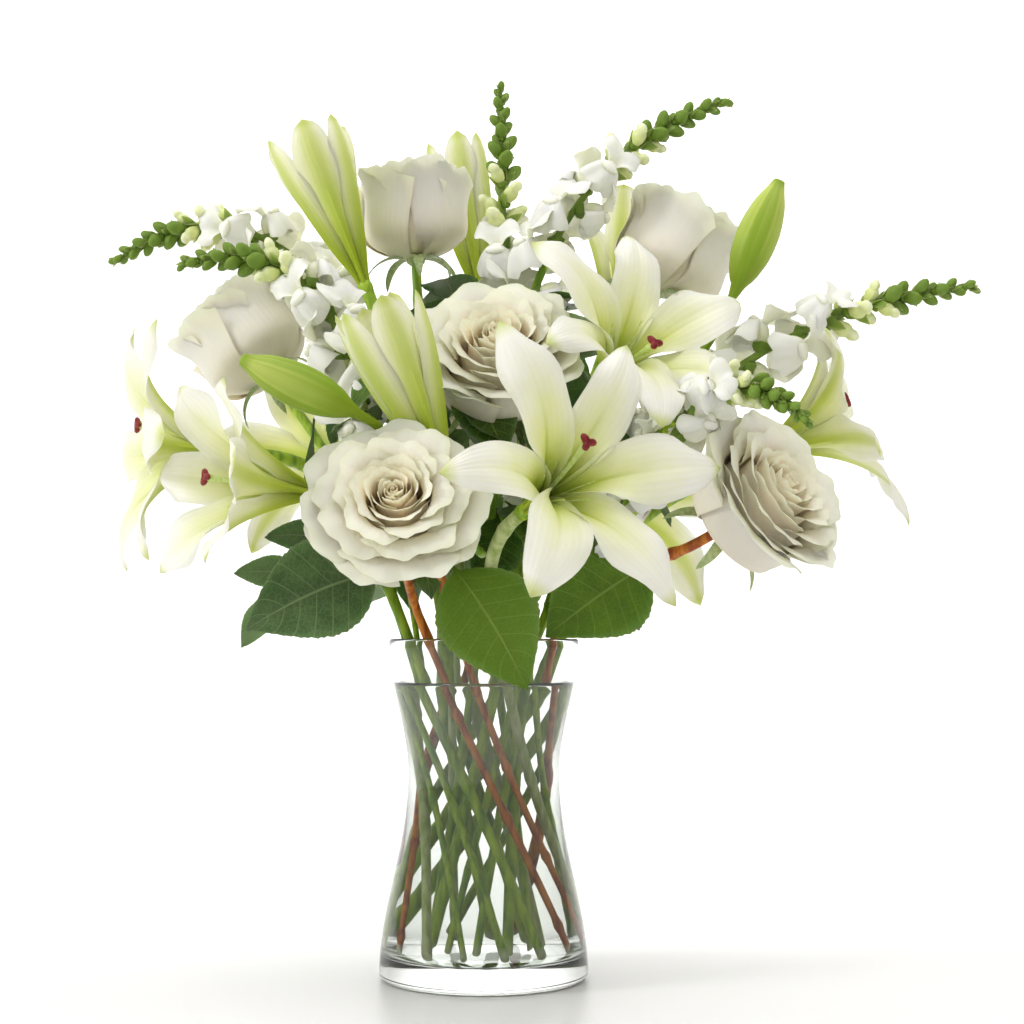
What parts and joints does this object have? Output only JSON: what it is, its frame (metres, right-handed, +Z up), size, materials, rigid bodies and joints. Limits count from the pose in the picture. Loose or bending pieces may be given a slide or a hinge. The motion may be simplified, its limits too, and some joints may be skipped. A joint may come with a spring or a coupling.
{
  "type": "lily and rose bouquet in a glass vase",
  "caption": "Waisted clear glass vase with a domed bunch of open white lilies, cream roses, white snapdragons, green buds and leaves on long stems that cross inside the glass.",
  "frame": {"origin": "middle of the vase's flat underside, on its axis", "axes": "+Z up along the vase's axis, -Y towards the front of the bunch, +X to the right seen from the front"},
  "size_m": [0.526, 0.4364, 0.5422],
  "materials": {
    "clear_glass": "polished",
    "lily_white": "satin",
    "bud_green": "satin",
    "rose_cream": "matte",
    "snapdragon_white": "matte",
    "stem_green": "satin",
    "bark_brown": "satin",
    "leaf_green": "satin"
  },
  "bodies": {
    "root": {"greens_branch_front": "bark_brown", "greens_branch_rear": "bark_brown", "half_open_lily_centre": "lily_white", "half_open_lily_centre_stem": "stem_green", "half_open_lily_left": "lily_white", "half_open_lily_left_stem": "stem_green", "half_open_lily_top": "lily_white", "half_open_lily_top_stem": "stem_green", "leaf_dark_centre": "leaf_green", "leaf_front_centre": "leaf_green", "leaf_front_left": "leaf_green", "leaf_front_right": "leaf_green", "leaf_rear_left": "leaf_green", "leaf_rear_right": "leaf_green", "lily_back_right": "lily_white", "lily_back_right_stem": "stem_green", "lily_bud_left": "bud_green", "lily_bud_right": "bud_green", "lily_front": "lily_white", "lily_front_stem": "stem_green", "lily_left": "lily_white", "lily_left_stem": "stem_green", "lily_low_left": "lily_white", "lily_low_left_stem": "stem_green", "lily_rear_left": "lily_white", "lily_rear_left_stem": "stem_green", "lily_rear_right": "lily_white", "lily_rear_right_stem": "stem_green", "lily_right": "lily_white", "lily_right_stem": "stem_green", "lily_upper_right": "lily_white", "lily_upper_right_stem": "stem_green", "rose_centre": "rose_cream", "rose_centre_stem": "stem_green", "rose_front": "rose_cream", "rose_front_stem": "bark_brown", "rose_leaf_spray": "leaf_green", "rose_left": "rose_cream", "rose_left_stem": "stem_green", "rose_rear": "rose_cream", "rose_rear_stem": "stem_green", "rose_right": "rose_cream", "rose_right_stem": "stem_green", "rose_upper_left": "rose_cream", "rose_upper_left_stem": "stem_green", "rose_upper_right": "rose_cream", "rose_upper_right_stem": "stem_green", "snapdragon_front_right": "snapdragon_white", "snapdragon_front_right_stem": "stem_green", "snapdragon_left": "snapdragon_white", "snapdragon_left_stem": "stem_green", "snapdragon_right": "snapdragon_white", "snapdragon_right_stem": "stem_green", "snapdragon_top": "snapdragon_white", "snapdragon_top_stem": "stem_green", "snapdragon_upper_left": "snapdragon_white", "snapdragon_upper_left_stem": "stem_green", "snapdragon_upper_right": "snapdragon_white", "snapdragon_upper_right_stem": "stem_green", "vase": "clear_glass"}
  },
  "joints": []
}
